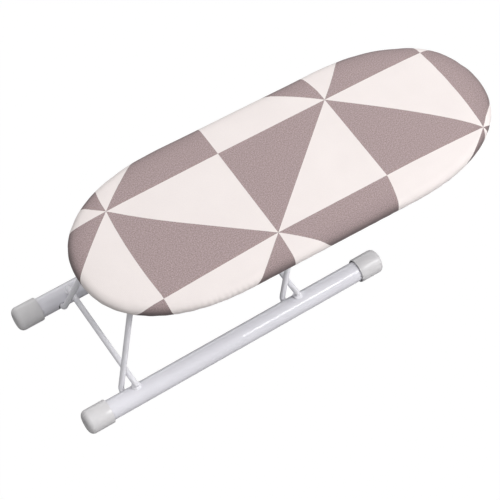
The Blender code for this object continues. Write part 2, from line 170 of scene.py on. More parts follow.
# Stage
CAMERA_AZIMUTH = math.radians(-33.24)
CAMERA_ELEVATION = math.radians(56.87)
CAMERA_PLACE = (-0.57405, -0.8489, 1.5905)
CAMERA_SENSOR = 36                   # millimetres
CAMERA_LENS = 126.72                 # millimetres
TABLE_DROP = 0.2 * MM
SHEET_DROP = 0.4 * MM
ROOM_REACH = 4.0
WALL_HEIGHT = 6.0
LOW_LIGHT = 0.22
CEILING_LIGHT = 0.70
BOARD_MIDDLE = (BOARD_X, 0.0, 0.1)
BASE_MIDDLE = (-0.1, 0.0, 0.02)
LIGHTS = (                           # name, place, target, size and watts
    ("key_softbox", (2.1, -1.95, 3.0), BOARD_MIDDLE, (1.2, 1.2), 36),
    ("overhead", (-0.3, 0.5, 2.2), BOARD_MIDDLE, (1.6, 1.2), 4.5),
    ("left_front", (-1.4, -1.6, 1.2), BASE_MIDDLE, (0.9, 0.9), 4),
    ("back_wall", (0.2, 2.0, 0.55), (-0.05, 0.0, 0.02), (2.0, 0.7), 11),
    ("right_fill", (1.5, -1.2, 0.8), BASE_MIDDLE, (0.9, 0.6), 8),
    ("near_strip", (0.72, -1.15, 1.40), (0.72, -0.07, 0.02), (0.6, 0.25), 10),
)


# --- Materials ---------------------------------------------------------------------------

class Finish:
    """A Principled material and short ways to add nodes to it."""

    def __init__(self, name, colour, **sockets):
        self.mat = bpy.data.materials.new(name)
        self.mat.use_nodes = True
        self.tree = self.mat.node_tree
        self.shader = self.tree.nodes["Principled BSDF"]
        self.shader.inputs["Base Color"].default_value = (*colour, 1.0)
        self.mat.diffuse_color = (*colour, 1.0)
        for socket, value in sockets.items():
            self.shader.inputs[socket.replace("_", " ")].default_value = value
        self.place = self.add("TexCoord", "Object")

    def add(self, kind, output=0, inputs=(), **settings):
        """A new node's output. inputs are (socket, value or output) pairs."""
        made = self.tree.nodes.new("ShaderNode" + kind)
        for key, value in settings.items():
            setattr(made, key, value)
        for socket, value in inputs:
            self.feed(made.inputs[socket], value)
        return made.outputs[output]

    def feed(self, socket, value):
        if isinstance(value, bpy.types.NodeSocket):
            self.tree.links.new(value, socket)
        else:
            socket.default_value = value

    def set(self, socket, value):
        self.feed(self.shader.inputs[socket], value)

    def math(self, operation, a, b=0.0):
        return self.add("Math", 0, [(0, a), (1, b)], operation=operation)

    def spread(self, value, low, high, start=0.3, end=0.7):
        """Maps a value from start..end to low..high."""
        return self.add("MapRange", 0, [(0, value), (1, start), (2, end), (3, low), (4, high)])

    def noise(self, size, detail=2.0, place=None):
        """Noise whose lumps are about size metres across."""
        inputs = [("Vector", place or self.place), ("Scale", 1 / size), ("Detail", detail)]
        return self.add("TexNoise", 0, inputs)

    def stretched(self, x, y, z):
        """Object coordinates multiplied by x, y and z."""
        return self.add("Mapping", 0, [("Vector", self.place), ("Scale", (x, y, z))])

    def mix(self, factor, a, b):
        """Mixes two colours."""
        made = self.tree.nodes.new("ShaderNodeMix")
        made.data_type = "RGBA"
        for socket, value in ((0, factor), (6, a), (7, b)):
            if isinstance(value, tuple) and len(value) == 3:
                value = (*value, 1.0)
            self.feed(made.inputs[socket], value)
        return made.outputs[2]

    def bump(self, height, depth, strength=1.0):
        inputs = [("Strength", strength), ("Distance", depth), ("Height", height)]
        if self.shader.inputs["Normal"].is_linked:
            inputs.append(("Normal", self.shader.inputs["Normal"].links[0].from_socket))
        self.set("Normal", self.add("Bump", 0, inputs))


def tinted(colour, amount):
    return tuple(channel * amount for channel in colour)


def inside_tube(made):
    """1 on a base tube's inner wall, 0 on its outside."""
    across = made.add("SeparateXYZ", 1, [(0, made.place)])
    height = across.node.outputs[2]
    from_axis_y = made.math("SUBTRACT", made.math("ABSOLUTE", across), TUBE_SPREAD)
    from_axis_z = made.math("SUBTRACT", height, TUBE_AXIS_Z)
    squares = [made.math("MULTIPLY", offset, offset) for offset in (from_axis_y, from_axis_z)]
    distance = made.math("SQRT", made.math("ADD", squares[0], squares[1]))
    return made.math("LESS_THAN", distance, TUBE_RADIUS - TUBE_WALL / 2)


def painted(name, colour, peel_size, coat, hollow=False):
    """Gloss enamel over steel: orange peel, faint changes of tone and soft scuffs, and painted shade on the
    inner wall when hollow.
    """
    made = Finish(name, colour, Coat_Weight=coat, Coat_Roughness=0.04, Specular_IOR_Level=0.2)
    blotch = made.noise(28 * MM, 3)
    shade = made.mix(made.spread(blotch, 0, 1), tinted(colour, 0.975), tinted(colour, 1.015))
    # Painted shade: a hollow tube's inner wall takes the near-black bore colour.
    if hollow:
        shade = made.mix(inside_tube(made), shade, BORE_PAINTED_SHADE)
    made.set("Base Color", shade)
    scuffs = made.noise(1.2 * MM, 4, made.stretched(0.12, 1, 1))
    made.set("Roughness", made.spread(scuffs, 0.45, 0.55))
    made.bump(made.noise(peel_size, 2), 0.02 * MM, 0.2)
    return made.mat


def moulded(name, colour):
    """Satin moulded plastic with a fine sparked grain and faint scuffs."""
    made = Finish(name, colour, Specular_IOR_Level=0.45, Coat_Weight=0.25, Coat_Roughness=0.22)
    cloud = made.noise(9 * MM, 3)
    made.set("Base Color", made.mix(made.spread(cloud, 0, 1), tinted(colour, 0.97), tinted(colour, 1.02)))
    made.set("Roughness", made.spread(made.noise(2.5 * MM, 4), 0.36, 0.5))
    made.bump(made.noise(0.35 * MM, 2), 0.02 * MM, 0.5)
    return made.mat


def plated(name, colour, rough):
    """Zinc-plated steel with rolling streaks and cloudy patches."""
    made = Finish(name, colour, Metallic=1.0)
    cloud = made.noise(4 * MM, 4)
    made.set("Base Color", made.mix(made.spread(cloud, 0, 1), tinted(colour, 0.86), colour))
    streaks = made.noise(0.5 * MM, 3, made.stretched(1, 0.06, 1))
    made.set("Roughness", made.spread(streaks, rough - 0.06, rough + 0.12))
    made.bump(streaks, 0.02 * MM, 0.4)
    return made.mat


def foamed(name, colour):
    """Open-cell foam: small round pits, drawn darker as painted shade, and a slightly mottled colour."""
    made = Finish(name, colour, Specular_IOR_Level=0.2)
    cells = made.add("TexVoronoi", 0, [("Vector", made.place), ("Scale", 1 / (0.9 * MM))])
    mottle = made.noise(6 * MM, 4)
    shade = made.mix(made.spread(mottle, 0, 1), tinted(colour, 0.93), colour)
    # Painted shade: the middles of the cells, where the pits are, are drawn darker.
    made.set("Base Color", made.mix(made.spread(cells, 0.5, 0, 0, 0.4), shade, tinted(colour, 0.6)))
    made.set("Roughness", made.spread(mottle, 0.85, 0.97))
    made.bump(cells, 0.4 * MM, 0.8)
    return made.mat


def knitted(name, colour):
    """White yarn: fine twisted ribs, with painted shade in the grooves between them."""
    made = Finish(name, colour, Sheen_Weight=0.2, Specular_IOR_Level=0.25)
    ribs = made.add("TexWave", 1, [("Vector", made.place), ("Scale", 1 / (2.2 * MM)), ("Distortion", 1.5)],
                    bands_direction="DIAGONAL")
    # Painted shade: the grooves between the ribs are drawn darker.
    made.set("Base Color", made.mix(ribs, tinted(colour, 0.8), colour))
    made.set("Roughness", made.spread(ribs, 0.8, 0.95, 0, 1))
    made.bump(ribs, 0.12 * MM, 0.7)
    return made.mat


def print_mask(made, flat):
    """1 on the pale triangles of the print and 0 on the dark ones, at cut-cloth coordinates."""
    ragged = made.noise(0.7 * MM, 2, flat)
    fray = made.add("VectorMath", 0, [(0, ragged), (1, (0.5, 0.5, 0.5))], operation="SUBTRACT")
    fray = made.add("VectorMath", 0, [(0, fray), ("Scale", 0.45 * MM)], operation="SCALE")
    place = made.add("VectorMath", 0, [(0, flat), (1, fray)], operation="ADD")
    turned = made.add("Mapping", 0, [
        ("Vector", place), ("Location", (*PRINT_STAR, 0.0)), ("Rotation", (0.0, 0.0, PRINT_TURN)),
        ("Scale", (PRINT_CELL_X, -PRINT_CELL_Y, 1.0))], vector_type="TEXTURE")
    across = made.add("SeparateXYZ", 0, [(0, turned)])
    down = across.node.outputs[1]
    half = made.math("SUBTRACT", made.math("PINGPONG", across, 1.0), made.math("PINGPONG", down, 1.0))
    swap_x = made.math("SINE", made.math("MULTIPLY", across, math.pi))
    swap_y = made.math("SINE", made.math("MULTIPLY", down, math.pi))
    side = made.math("MULTIPLY", half, made.math("MULTIPLY", swap_x, swap_y))
    return made.math("GREATER_THAN", side, 0.0)


def weave(made, flat):
    """Plain weave, as the height of the threads, 0 to 1."""
    threads = []
    for name in ("X", "Y"):
        inputs = [("Vector", flat), ("Scale", WEAVE_SCALE), ("Distortion", 0.6), ("Detail", 1.0)]
        threads.append(made.add("TexWave", 1, inputs, bands_direction=name))
    return made.math("MAXIMUM", threads[0], threads[1])


def puckers(made, flat):
    """Small ripples across the near edge where the hem pulls hardest."""
    share = made.add("Attribute", "Fac", attribute_name="pucker")
    scale = math.pi / 10 / PUCKER_PITCH
    inputs = [("Vector", flat), ("Scale", scale), ("Distortion", 2.5), ("Detail", 1.0)]
    inputs.append(("Detail Scale", 1.5))
    ripple = made.add("TexWave", 1, inputs, bands_direction="X")
    return made.math("MULTIPLY", ripple, share)


def slubs(made, flat):
    """Thicker and thinner stretches of yarn, along both ways of the cloth."""
    ways = []
    for scale in ((0.35, 1.0, 1.0), (1.0, 0.35, 1.0)):
        place = made.add("Mapping", 0, [("Vector", flat), ("Scale", scale)])
        ways.append(made.noise(0.55 * MM, 3, place))
    return made.math("MULTIPLY", made.math("ADD", ways[0], ways[1]), 0.5)


def printed_cotton(name, dark, pale):
    """Cotton with the printed triangles, slubby threads and a fine weave."""
    made = Finish(name, dark, Sheen_Weight=0.12, Sheen_Roughness=0.5, Specular_IOR_Level=0.2)
    flat = made.add("Attribute", "Vector", attribute_name="flat")
    mask = print_mask(made, flat)
    threads = weave(made, flat)
    slub = slubs(made, flat)
    grain = made.math("MULTIPLY", made.noise(1.15 * MM, 2, flat), 0.6)
    speck = made.math("ADD", made.math("MULTIPLY", slub, 0.4), grain)
    marl = made.mix(made.spread(speck, 0, 1, 0.38, 0.62), tinted(dark, 0.7), tinted(dark, 1.3))
    clean = made.mix(made.spread(slub, 0, 1), tinted(pale, 0.965), tinted(pale, 1.02))
    # Painted shade: the cloth is drawn darker towards and under its edge, where less light reaches it.
    painted_edge_shade = made.add("Attribute", "Fac", attribute_name="painted_edge_shade")
    marl = made.mix(painted_edge_shade, marl, tinted(dark, 0.38))
    clean = made.mix(painted_edge_shade, clean, tinted(pale, 0.9))
    soft = made.noise(45 * MM, 3, flat)
    colour = made.mix(mask, marl, clean)
    colour = made.mix(made.spread(soft, 0.05, 0.0), colour, tinted(dark, 0.9))
    made.set("Base Color", colour)
    made.set("Roughness", made.spread(slub, 0.82, 0.95))
    made.bump(made.noise(7 * MM, 2, flat), 0.25 * MM, 0.35)
    made.bump(puckers(made, flat), PUCKER_DEPTH)
    made.bump(slub, 0.12 * MM, 0.6)
    made.bump(threads, 0.06 * MM, 0.5)
    return made.mat


def make_materials():
    return {
        "tube": painted("tube_gloss_paint", (0.785, 0.775, 0.825), 1.4 * MM, 0.7, hollow=True),
        "wire": painted("wire_gloss_paint", (0.86, 0.85, 0.89), 0.9 * MM, 0.5),
        "cap": moulded("cap_moulded_plastic", (0.70, 0.685, 0.695)),
        "zinc": plated("zinc_plated_sheet", (0.66, 0.67, 0.69), 0.34),
        "rivet": plated("rivet_bright_steel", (0.78, 0.78, 0.79), 0.24),
        "panel": painted("panel_paint", (0.62, 0.62, 0.65), 1.1 * MM, 0.3),
        "foam": foamed("open_cell_foam", (0.84, 0.82, 0.76)),
        "cover": printed_cotton("printed_cotton", (0.38, 0.294, 0.294), (0.85, 0.785, 0.768)),
        "elastic": knitted("elastic_yarn", (0.84, 0.83, 0.82)),
        "thread": knitted("sewing_thread", (0.80, 0.76, 0.75)),
    }


# --- Mesh helpers ------------------------------------------------------------------------

def add_object(name, data):
    """A new object in the scene."""
    obj = bpy.data.objects.new(name, data)
    bpy.context.scene.collection.objects.link(obj)
    return obj


def place_piece(name, data, mat, body, slot, *nodes):
    """Adds a piece with its material and body, and hides the CAD nodes it stands for."""
    obj = add_object(name, data)
    data.materials.clear()
    data.materials.append(mat)
    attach(obj, body)
    if nodes:
        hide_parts(*nodes)
    return obj


def shell(name, verts, faces, sharp=40.0):
    """A mesh with outward faces, shaded smooth up to the sharp angle in degrees."""
    mesh = bpy.data.meshes.new(name)
    mesh.from_pydata(verts, [], faces)
    shape = bmesh.new()
    shape.from_mesh(mesh)
    bmesh.ops.recalc_face_normals(shape, faces=shape.faces)
    shape.to_mesh(mesh)
    shape.free()
    mesh.shade_smooth()
    mesh.set_sharp_from_angle(angle=math.radians(sharp))
    return mesh


def band(a, b, count):
    """Faces between two rings of count points, which start at a and b."""
    return [(a + k, a + (k + 1) % count, b + (k + 1) % count, b + k) for k in range(count)]


def tube_faces(start, rows, count):
    """Faces of a tube with capped ends, through rows of count points."""
    faces = []
    for row in range(rows - 1):
        faces += band(start + row * count, start + (row + 1) * count, count)
    faces.append(tuple(start + k for k in reversed(range(count))))
    faces.append(tuple(start + (rows - 1) * count + k for k in range(count)))
    return faces


def loft(name, rings, closed=False, sharp=40.0):
    """A mesh through rings of points. The ends are capped, or joined when closed."""
    count = len(rings[0])
    verts = [tuple(point) for ring in rings for point in ring]
    faces = tube_faces(0, len(rings), count)
    if closed:
        faces[-2:] = band((len(rings) - 1) * count, 0, count)
    return shell(name, verts, faces, sharp)


def circle(radius, height, sides):
    turns = [2 * math.pi * (k + 0.5) / sides for k in range(sides)]
    return [(radius * math.cos(a), radius * math.sin(a), height) for a in turns]


def along_x(rings):
    """Rings about Z, turned to stand about X."""
    return [[(z, x, y) for x, y, z in ring] for ring in rings]


def shift(x, y, z):
    return Matrix.Translation((x, y, z))


def prism(name, profile, low, high):
    """A profile of (x, z) points, extruded along Y from low to high."""
    return loft(name, [[(x, low, z) for x, z in profile], [(x, high, z) for x, z in profile]])


def drill(name, centres, radius, low, high, sides=32):
    """One mesh of separate upright cylinders, for cutting round holes."""
    verts, faces = [], []
    for x, y in centres:
        start = len(verts)
        for height in (low, high):
            verts += [(x + px, y + py, pz) for px, py, pz in circle(radius, height, sides)]
        faces += tube_faces(start, 2, sides)
    return shell(name, verts, faces)


def apply_modifiers(obj):
    """Bakes an object's modifiers into its mesh."""
    graph = bpy.context.evaluated_depsgraph_get()
    baked = obj.evaluated_get(graph)
    mesh = bpy.data.meshes.new_from_object(baked, preserve_all_data_layers=True, depsgraph=graph)
    obj.modifiers.clear()
    obj.data = mesh
    return obj


def shaped(mesh, cuts=(), joins=(), bevel=0.0):
    """The mesh with others joined and cut away, and its edges softened."""
    obj = add_object(mesh.name + "_work", mesh)
    tools = []
    for operation, meshes in (("UNION", joins), ("DIFFERENCE", cuts)):
        for other in meshes:
            tool = add_object(other.name + "_tool", other)
            step = obj.modifiers.new(operation, "BOOLEAN")
            step.operation = operation
            step.solver = "EXACT"
            step.object = tool
            tools.append(tool)
    if bevel:
        step = obj.modifiers.new("soften", "BEVEL")
        step.width = bevel
        step.segments = 2
        step.limit_method = "ANGLE"
        step.angle_limit = math.radians(35)
    apply_modifiers(obj)
    result = obj.data
    for spare in tools + [obj]:
        bpy.data.objects.remove(spare)
    result.shade_smooth()
    result.set_sharp_from_angle(angle=math.radians(40.0))
    return result


def round_corners(points, radii, steps=12):
    """A path through points with each inner corner replaced by an arc."""
    path = [Vector(points[0])]
    for before, corner, after, radius in zip(points, points[1:], points[2:], radii):
        corner = Vector(corner)
        back = (Vector(before) - corner).normalized()
        ahead = (Vector(after) - corner).normalized()
        half = back.angle(ahead) / 2
        centre = corner + (back + ahead).normalized() * radius / math.sin(half)
        start = corner + back * radius / math.tan(half)
        end = corner + ahead * radius / math.tan(half)
        for k in range(steps + 1):
            spoke = (start - centre).normalized().slerp((end - centre).normalized(), k / steps)
            path.append(centre + spoke * radius)
    path.append(Vector(points[-1]))
    return path


def swept(name, path, radii, sides=24, cyclic=False):
    """A round wire along a path, with a radius for each point; open ends are capped flat."""
    path = [Vector(point) for point in path]
    rings = []
    side = Vector((0, 0, 1))
    for i, point in enumerate(path):
        before = path[i - 1] if cyclic else path[max(i - 1, 0)]
        after = path[(i + 1) % len(path)] if cyclic else path[min(i + 1, len(path) - 1)]
        ahead = (after - before).normalized()
        if abs(side.dot(ahead)) < 0.99:
            side = (side - ahead * side.dot(ahead)).normalized()
        else:
            side = ahead.orthogonal()
        up = ahead.cross(side)
        turns = [2 * math.pi * k / sides for k in range(sides)]
        rings.append([point + (side * math.cos(a) + up * math.sin(a)) * radii[i] for a in turns])
    return loft(name, rings, closed=cyclic, sharp=50)


# --- Base --------------------------------------------------------------------------------

def build_tubes(mats):
    """Two painted steel tubes with the legs' pivot holes in their inner walls."""
    bore = TUBE_RADIUS - TUBE_WALL
    half = (TUBE_HIGH.x - TUBE_LOW.x) / 2
    middle = (TUBE_HIGH.x + TUBE_LOW.x) / 2
    chamfer = 0.3 * MM
    profile = [(TUBE_RADIUS, -half + chamfer), (TUBE_RADIUS, half - chamfer)]
    profile += [(TUBE_RADIUS - chamfer, half), (bore, half), (bore, -half), (TUBE_RADIUS - chamfer, -half)]
    for side, facing in (("near", 1), ("far", -1)):
        y = -facing * TUBE_SPREAD
        rings = along_x([circle(r, x, TUBE_SIDES) for r, x in profile])
        tube = loft(side + "_tube_skin", rings, closed=True)
        tube.transform(shift(middle, y, TUBE_AXIS_Z))
        holes = []
        for pivot in PIVOTS.values():
            ring = circle(PIVOT_HOLE_RADIUS, 0.0, 40)
            ends = []
            for reach in (0.0, 2 * TUBE_RADIUS):
                ends.append([(x, y + facing * reach, z + pivot.z) for x, z, _ in ring])
            hole = loft("pivot_hole", ends)
            hole.transform(shift(pivot.x, 0, 0))
            holes.append(hole)
        mesh = shaped(tube, cuts=holes)
        place_piece(side + "_tube_skin", mesh, mats["tube"], "base", "tube_paint", side + "_tube")


def cap_rings(sides=80):
    """A moulded cap about X: thin lip at the tube, rounded far corner, shallow dish in the end."""
    bore = TUBE_RADIUS + GAP
    profile = [(bore, CAP_BORE_DEPTH), (bore, 4.0 * MM), (bore + 0.8 * MM, 3.6 * MM),
               (bore + 0.8 * MM, 0.2 * MM), (bore + 1.0 * MM, 0.0)]
    profile += [(CAP_RADIUS - 0.7 * MM, 0.0), (CAP_RADIUS - 0.25 * MM, 0.2 * MM), (CAP_RADIUS, 0.8 * MM)]
    profile += [(CAP_RADIUS, 8 * MM), (CAP_RADIUS, 15 * MM)]
    for k in range(11):
        turn = math.radians(90 * k / 10)
        radius = CAP_RADIUS - CAP_CORNER * (1 - math.cos(turn))
        profile.append((radius, CAP_LENGTH - CAP_CORNER * (1 - math.sin(turn))))
    profile.append((CAP_RADIUS - CAP_CORNER - 1.5 * MM, CAP_LENGTH - 0.05 * MM))
    profile += [(2.5 * MM, CAP_LENGTH - 0.35 * MM), (0.6 * MM, CAP_LENGTH - 0.35 * MM)]
    return along_x([circle(r, x, sides) for r, x in profile])


def build_caps(mats):
    for side, y in (("near", -TUBE_SPREAD), ("far", TUBE_SPREAD)):
        for which, turn in (("left", -1), ("right", 1)):
            low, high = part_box(f"{side}_{which}_cap")
            rim = high.x if turn < 0 else low.x
            rings = [[(rim + turn * x, y + py, TUBE_AXIS_Z + z) for x, py, z in ring] for ring in cap_rings()]
            name = f"{side}_{which}_end_cap"
            place_piece(name, loft(name, rings), mats["cap"], "base", "cap_plastic", f"{side}_{which}_cap")


def weld_bead(name, centre, size, seed):
    """A lumpy fillet of weld that spreads from the wire on to the tube."""
    mesh = bpy.data.meshes.new(name)
    shape = bmesh.new()
    bmesh.ops.create_icosphere(shape, subdivisions=4, radius=1.0)
    for vert in shape.verts:
        lump = noise.noise(vert.co * 1.6 + Vector((seed, 3.1, 7.7))) + 0.4 * noise.noise(vert.co * 4.5)
        spot = vert.co * (1 + 0.22 * lump)
        spot = Vector((spot.x * size[0], spot.y * size[1], spot.z * size[2])) + Vector(centre)
        across = max(-1.0, min(1.0, (spot.y - centre[1]) / TUBE_RADIUS))
        spot.z -= TUBE_RADIUS * (1 - math.sqrt(1 - across * across))
        vert.co = spot
    shape.to_mesh(mesh)
    shape.free()
    mesh.shade_smooth()
    return mesh


def build_cross_wires(mats):
    """Two straight wires welded across the tubes, with a bead at each end."""
    for number, which in enumerate(("left", "right")):
        low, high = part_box(which + "_cross_wire")
        x, z = (low.x + high.x) / 2, (low.z + high.z) / 2
        reach = (high.y - low.y) / 2
        ends = [(0.0, 0.72), (0.25, 0.9), (0.8, 1.0)]
        stops = [(-reach + d * MM, r) for d, r in ends] + [(0.0, 1.0)]
        stops += [(reach - d * MM, r) for d, r in reversed(ends)]
        path = [(x, y, z) for y, r in stops]
        mesh = swept(which + "_cross_rod", path, [WIRE_RADIUS * r for y, r in stops])
        place_piece(which + "_cross_rod", mesh, mats["wire"], "base", "wire_paint", which + "_cross_wire")
        for side, turn in (("near", -1), ("far", 1)):
            name = f"{which}_{side}_weld"
            centre = (x, turn * (reach - 2.4 * MM), TUBE_AXIS_Z + TUBE_RADIUS + 0.2 * MM)
            bead = weld_bead(name, centre, (5.2 * MM, 5.2 * MM, 2.0 * MM), 5.3 * number + turn)
            place_piece(name, bead, mats["wire"], "base", "wire_paint")


def build_legs(mats):
    """Two bent-wire legs, each a foot hook, a side, a crossbar, a side and a foot hook."""
    for which, pivot in PIVOTS.items():
        rise = HINGE_HEIGHT - pivot.z
        lean = HINGES[which] - pivot.x
        top = LEG_FOOT_SPREAD - rise * math.tan(LEG_TAPER)
        half = [(0, HOOK_END, 0), (0, LEG_FOOT_SPREAD, 0), (lean, top, rise)]
        points = [(x, -y, z) for x, y, z in half] + list(reversed(half))
        bends = [LEG_FOOT_BEND, LEG_TOP_BEND, LEG_TOP_BEND, LEG_FOOT_BEND]
        path = [pivot + point for point in round_corners(points, bends)]
        mesh = swept(which + "_bent_leg", path, [WIRE_RADIUS] * len(path))
        body = which + "_leg"
        place_piece(which + "_bent_leg", mesh, mats["wire"], body, "wire_paint", which + "_leg")


# --- Hinges and panel --------------------------------------------------------------------

def arc(centre, radius, start, end, steps):
    """(x, z) points on an arc, with angles in degrees."""
    turns = [math.radians(start + (end - start) * k / steps) for k in range(steps + 1)]
    return [(centre[0] + radius * math.cos(a), centre[1] + radius * math.sin(a)) for a in turns]


def saddle_profile():
    """A strap that hangs under the crossbar, with a flat ear on each side."""
    inside = WIRE_RADIUS + GAP
    outside = inside + SHEET
    inner = arc((0, 0), inside, 180, 360, 18)
    outer = arc((0, 0), outside, 360, 180, 18)
    left = [(-SADDLE_HALF_LENGTH, EAR_TOP), (-inside, EAR_TOP)]
    right = [(inside, EAR_TOP), (SADDLE_HALF_LENGTH, EAR_TOP)]
    right += [(SADDLE_HALF_LENGTH, EAR_BOTTOM), (outside, EAR_BOTTOM)]
    return left + inner + right + outer + [(-outside, EAR_BOTTOM), (-SADDLE_HALF_LENGTH, EAR_BOTTOM)]


def stop_plate_mesh(rivets):
    """A flat plate whose two wings bend down as stops for the leg."""
    face = -(STOP_DEPTH * math.tan(LEG_LEAN) + WIRE_RADIUS / math.cos(LEG_LEAN) + GAP)
    back = face - SHEET
    inner = SADDLE_Y + SADDLE_WIDTH / 2
    core = [(-PLATE_HALF_LENGTH, PLATE_BOTTOM), (PLATE_HALF_LENGTH, PLATE_BOTTOM),
            (PLATE_HALF_LENGTH, PLATE_TOP), (-PLATE_HALF_LENGTH, PLATE_TOP)]
    bend = 1.0 * MM
    outer_bend = arc((back + bend + SHEET, PLATE_TOP - bend - SHEET), bend + SHEET, 90, 180, 6)
    inner_bend = arc((face + bend, PLATE_BOTTOM - bend), bend, 180, 90, 6)
    wing = [(PLATE_HALF_LENGTH, PLATE_TOP)] + outer_bend + [(back, -STOP_DEPTH), (face, -STOP_DEPTH)]
    wing += inner_bend + [(PLATE_HALF_LENGTH, PLATE_BOTTOM)]
    wings = [prism("near_wing", wing, -PLATE_HALF_WIDTH, -inner - MM),
             prism("far_wing", wing, inner + MM, PLATE_HALF_WIDTH)]
    holes = drill("plate_holes", rivets, RIVET_HOLE_RADIUS, PLATE_BOTTOM - MM, PLATE_TOP + MM)
    plate = prism("stop_plate", core, -inner - 2 * MM, inner + 2 * MM)
    return shaped(plate, cuts=[holes], joins=wings, bevel=0.2 * MM)


def rivet_mesh():
    """A rivet with a domed head below and a set tail above."""
    head_top = EAR_BOTTOM - GAP
    tail_low = PANEL_TOP + GAP
    profile = [(0.15 * MM, head_top - RIVET_HEAD_HEIGHT)]
    for k in range(1, 9):
        turn = math.radians(90 * k / 8)
        height = head_top - RIVET_HEAD_HEIGHT * math.cos(turn) ** 0.8
        profile.append((RIVET_HEAD_RADIUS * math.sin(turn), height))
    profile += [(RIVET_RADIUS, head_top), (RIVET_RADIUS, tail_low), (RIVET_TAIL_RADIUS, tail_low),
                (RIVET_TAIL_RADIUS, RIVET_TOP - 0.2 * MM), (RIVET_TAIL_RADIUS - 0.3 * MM, RIVET_TOP)]
    return loft("rivet", [circle(r, z, 32) for r, z in profile])


def build_hinges(mats):
    """Each leg's stop plate, two saddles and four rivets."""
    ears = [(-RIVET_X, 0), (RIVET_X, 0)]
    rivets = [(x, y) for y in (-SADDLE_Y, SADDLE_Y) for x in (-RIVET_X, RIVET_X)]
    for which, x in HINGES.items():
        plate = stop_plate_mesh(rivets)
        plate.transform(shift(x, 0, HINGE_HEIGHT))
        name = which + "_hinge_plate"
        place_piece(name, plate, mats["zinc"], "board", "hinge_steel", which + "_stop_plate")
        for side, y in (("near", -SADDLE_Y), ("far", SADDLE_Y)):
            holes = drill("ears", ears, RIVET_HOLE_RADIUS, EAR_BOTTOM - MM, EAR_TOP + MM)
            strap = prism("strap", saddle_profile(), -SADDLE_WIDTH / 2, SADDLE_WIDTH / 2)
            strap = shaped(strap, cuts=[holes], bevel=0.2 * MM)
            strap.transform(shift(x, y, HINGE_HEIGHT))
            name = f"{which}_{side}_strap"
            place_piece(name, strap, mats["zinc"], "board", "hinge_steel", f"{which}_{side}_saddle")
            for end, offset in (("left", -RIVET_X), ("right", RIVET_X)):
                mesh = rivet_mesh()
                mesh.transform(shift(x + offset, y, HINGE_HEIGHT))
                name = f"{which}_{side}_{end}"
                place_piece(name + "_pin", mesh, mats["rivet"], "board", "rivet_steel", name + "_rivet")


class Oval:
    """The board's outline: evenly spaced columns, each a point on it and its outward direction."""

    def __init__(self, columns, skew):
        middle = BOARD_LENGTH / 2 - BOARD_END_LENGTH
        power = 2 / BOARD_END_POWER
        turn = np.linspace(0, math.pi / 2, 600)
        u = np.cos(turn).clip(0, 1) ** power
        v = np.sin(turn) ** power
        points = np.stack([middle + BOARD_END_LENGTH * u, BOARD_HALF_WIDTH * v], axis=1)
        facing = np.stack([u ** (BOARD_END_POWER - 1) / BOARD_END_LENGTH,
                           v ** (BOARD_END_POWER - 1) / BOARD_HALF_WIDTH], axis=1)
        points = np.vstack([points, [0.0, BOARD_HALF_WIDTH]])
        facing = np.vstack([facing, [0.0, 1.0]])
        along = np.concatenate([[0], np.cumsum(np.linalg.norm(np.diff(points, axis=0), axis=1))])
        stops = np.linspace(0, along[-1], columns // 4 + 1)
        quarter = np.stack([np.interp(stops, along, points[:, k]) for k in (0, 1)], axis=1)
        normal = np.stack([np.interp(stops, along, facing[:, k]) for k in (0, 1)], axis=1)
        self.points = self.mirrored(quarter)
        self.normals = self.mirrored(normal)
        self.normals /= np.linalg.norm(self.normals, axis=1)[:, None]
        self.skew = skew

    def mirrored(self, quarter):
        """The whole loop, anticlockwise from +X, from its first quarter."""
        half = np.vstack([quarter, quarter[-2::-1] * [-1, 1]])
        return np.vstack([half, half[-2:0:-1] * [1, -1]])

    def world(self, flat_points):
        cos, sin = math.cos(self.skew), math.sin(self.skew)
        x, y = flat_points[:, 0], flat_points[:, 1]
        return np.stack([BOARD_X + x * cos - y * sin, x * sin + y * cos], axis=1)

    def ring(self, inset):
        return self.world(self.points - self.normals * inset)

    def ring_at(self, inset, height):
        ring = self.ring(inset)
        return [(x, y, height) for x, y in ring]


